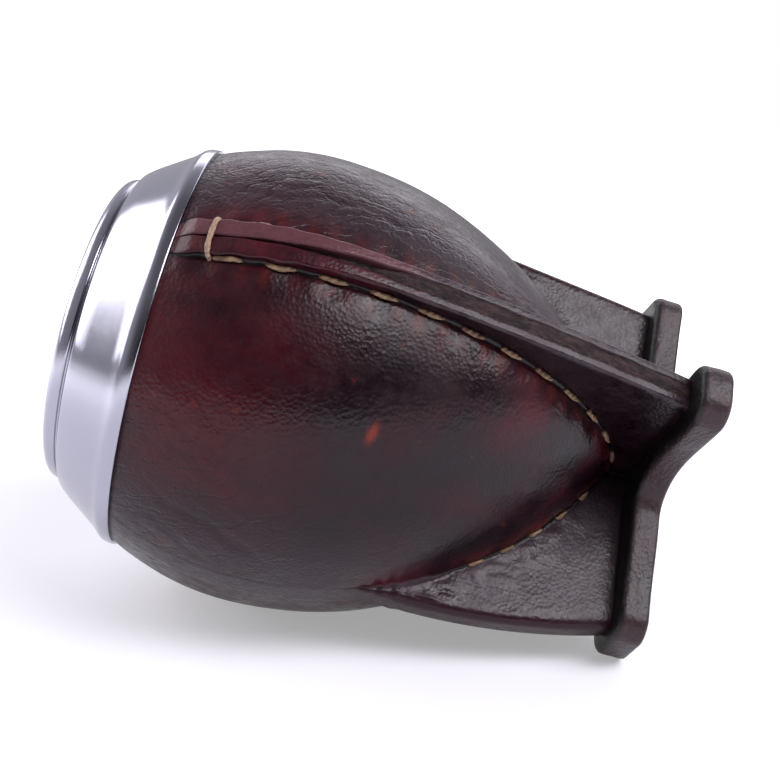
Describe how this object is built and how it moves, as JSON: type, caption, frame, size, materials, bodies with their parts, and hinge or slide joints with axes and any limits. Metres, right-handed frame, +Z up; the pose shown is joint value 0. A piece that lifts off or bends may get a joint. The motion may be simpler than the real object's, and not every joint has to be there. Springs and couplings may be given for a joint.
{
  "type": "leather-covered mate gourd cup",
  "caption": "Mate cup lying on its side: gourd in a leather cover with four fins, star-shaped leather sole and a metal rim.",
  "frame": {"origin": "centre of the bounding box's underside, on the table the cup lies on", "axes": "-X towards the mouth, +X towards the sole, +Z up, -Y towards the side with the open seam"},
  "size_m": [0.1196, 0.085, 0.0855],
  "materials": {
    "cover_leather": "waxed, semi-gloss",
    "core_leather": "rough cut edge",
    "sole_leather": "burnished edge",
    "rim_metal": "polished with fine brushing on the lip",
    "gourd_shell": "dry, matt",
    "thread": "waxed"
  },
  "bodies": {
    "root": {"cover": "cover_leather", "seam_core": "core_leather", "sole": "sole_leather", "rim": "rim_metal", "gourd": "gourd_shell", "thread_seam": "thread", "thread_far": "thread", "thread_back": "thread", "thread_low": "thread"}
  },
  "joints": []
}
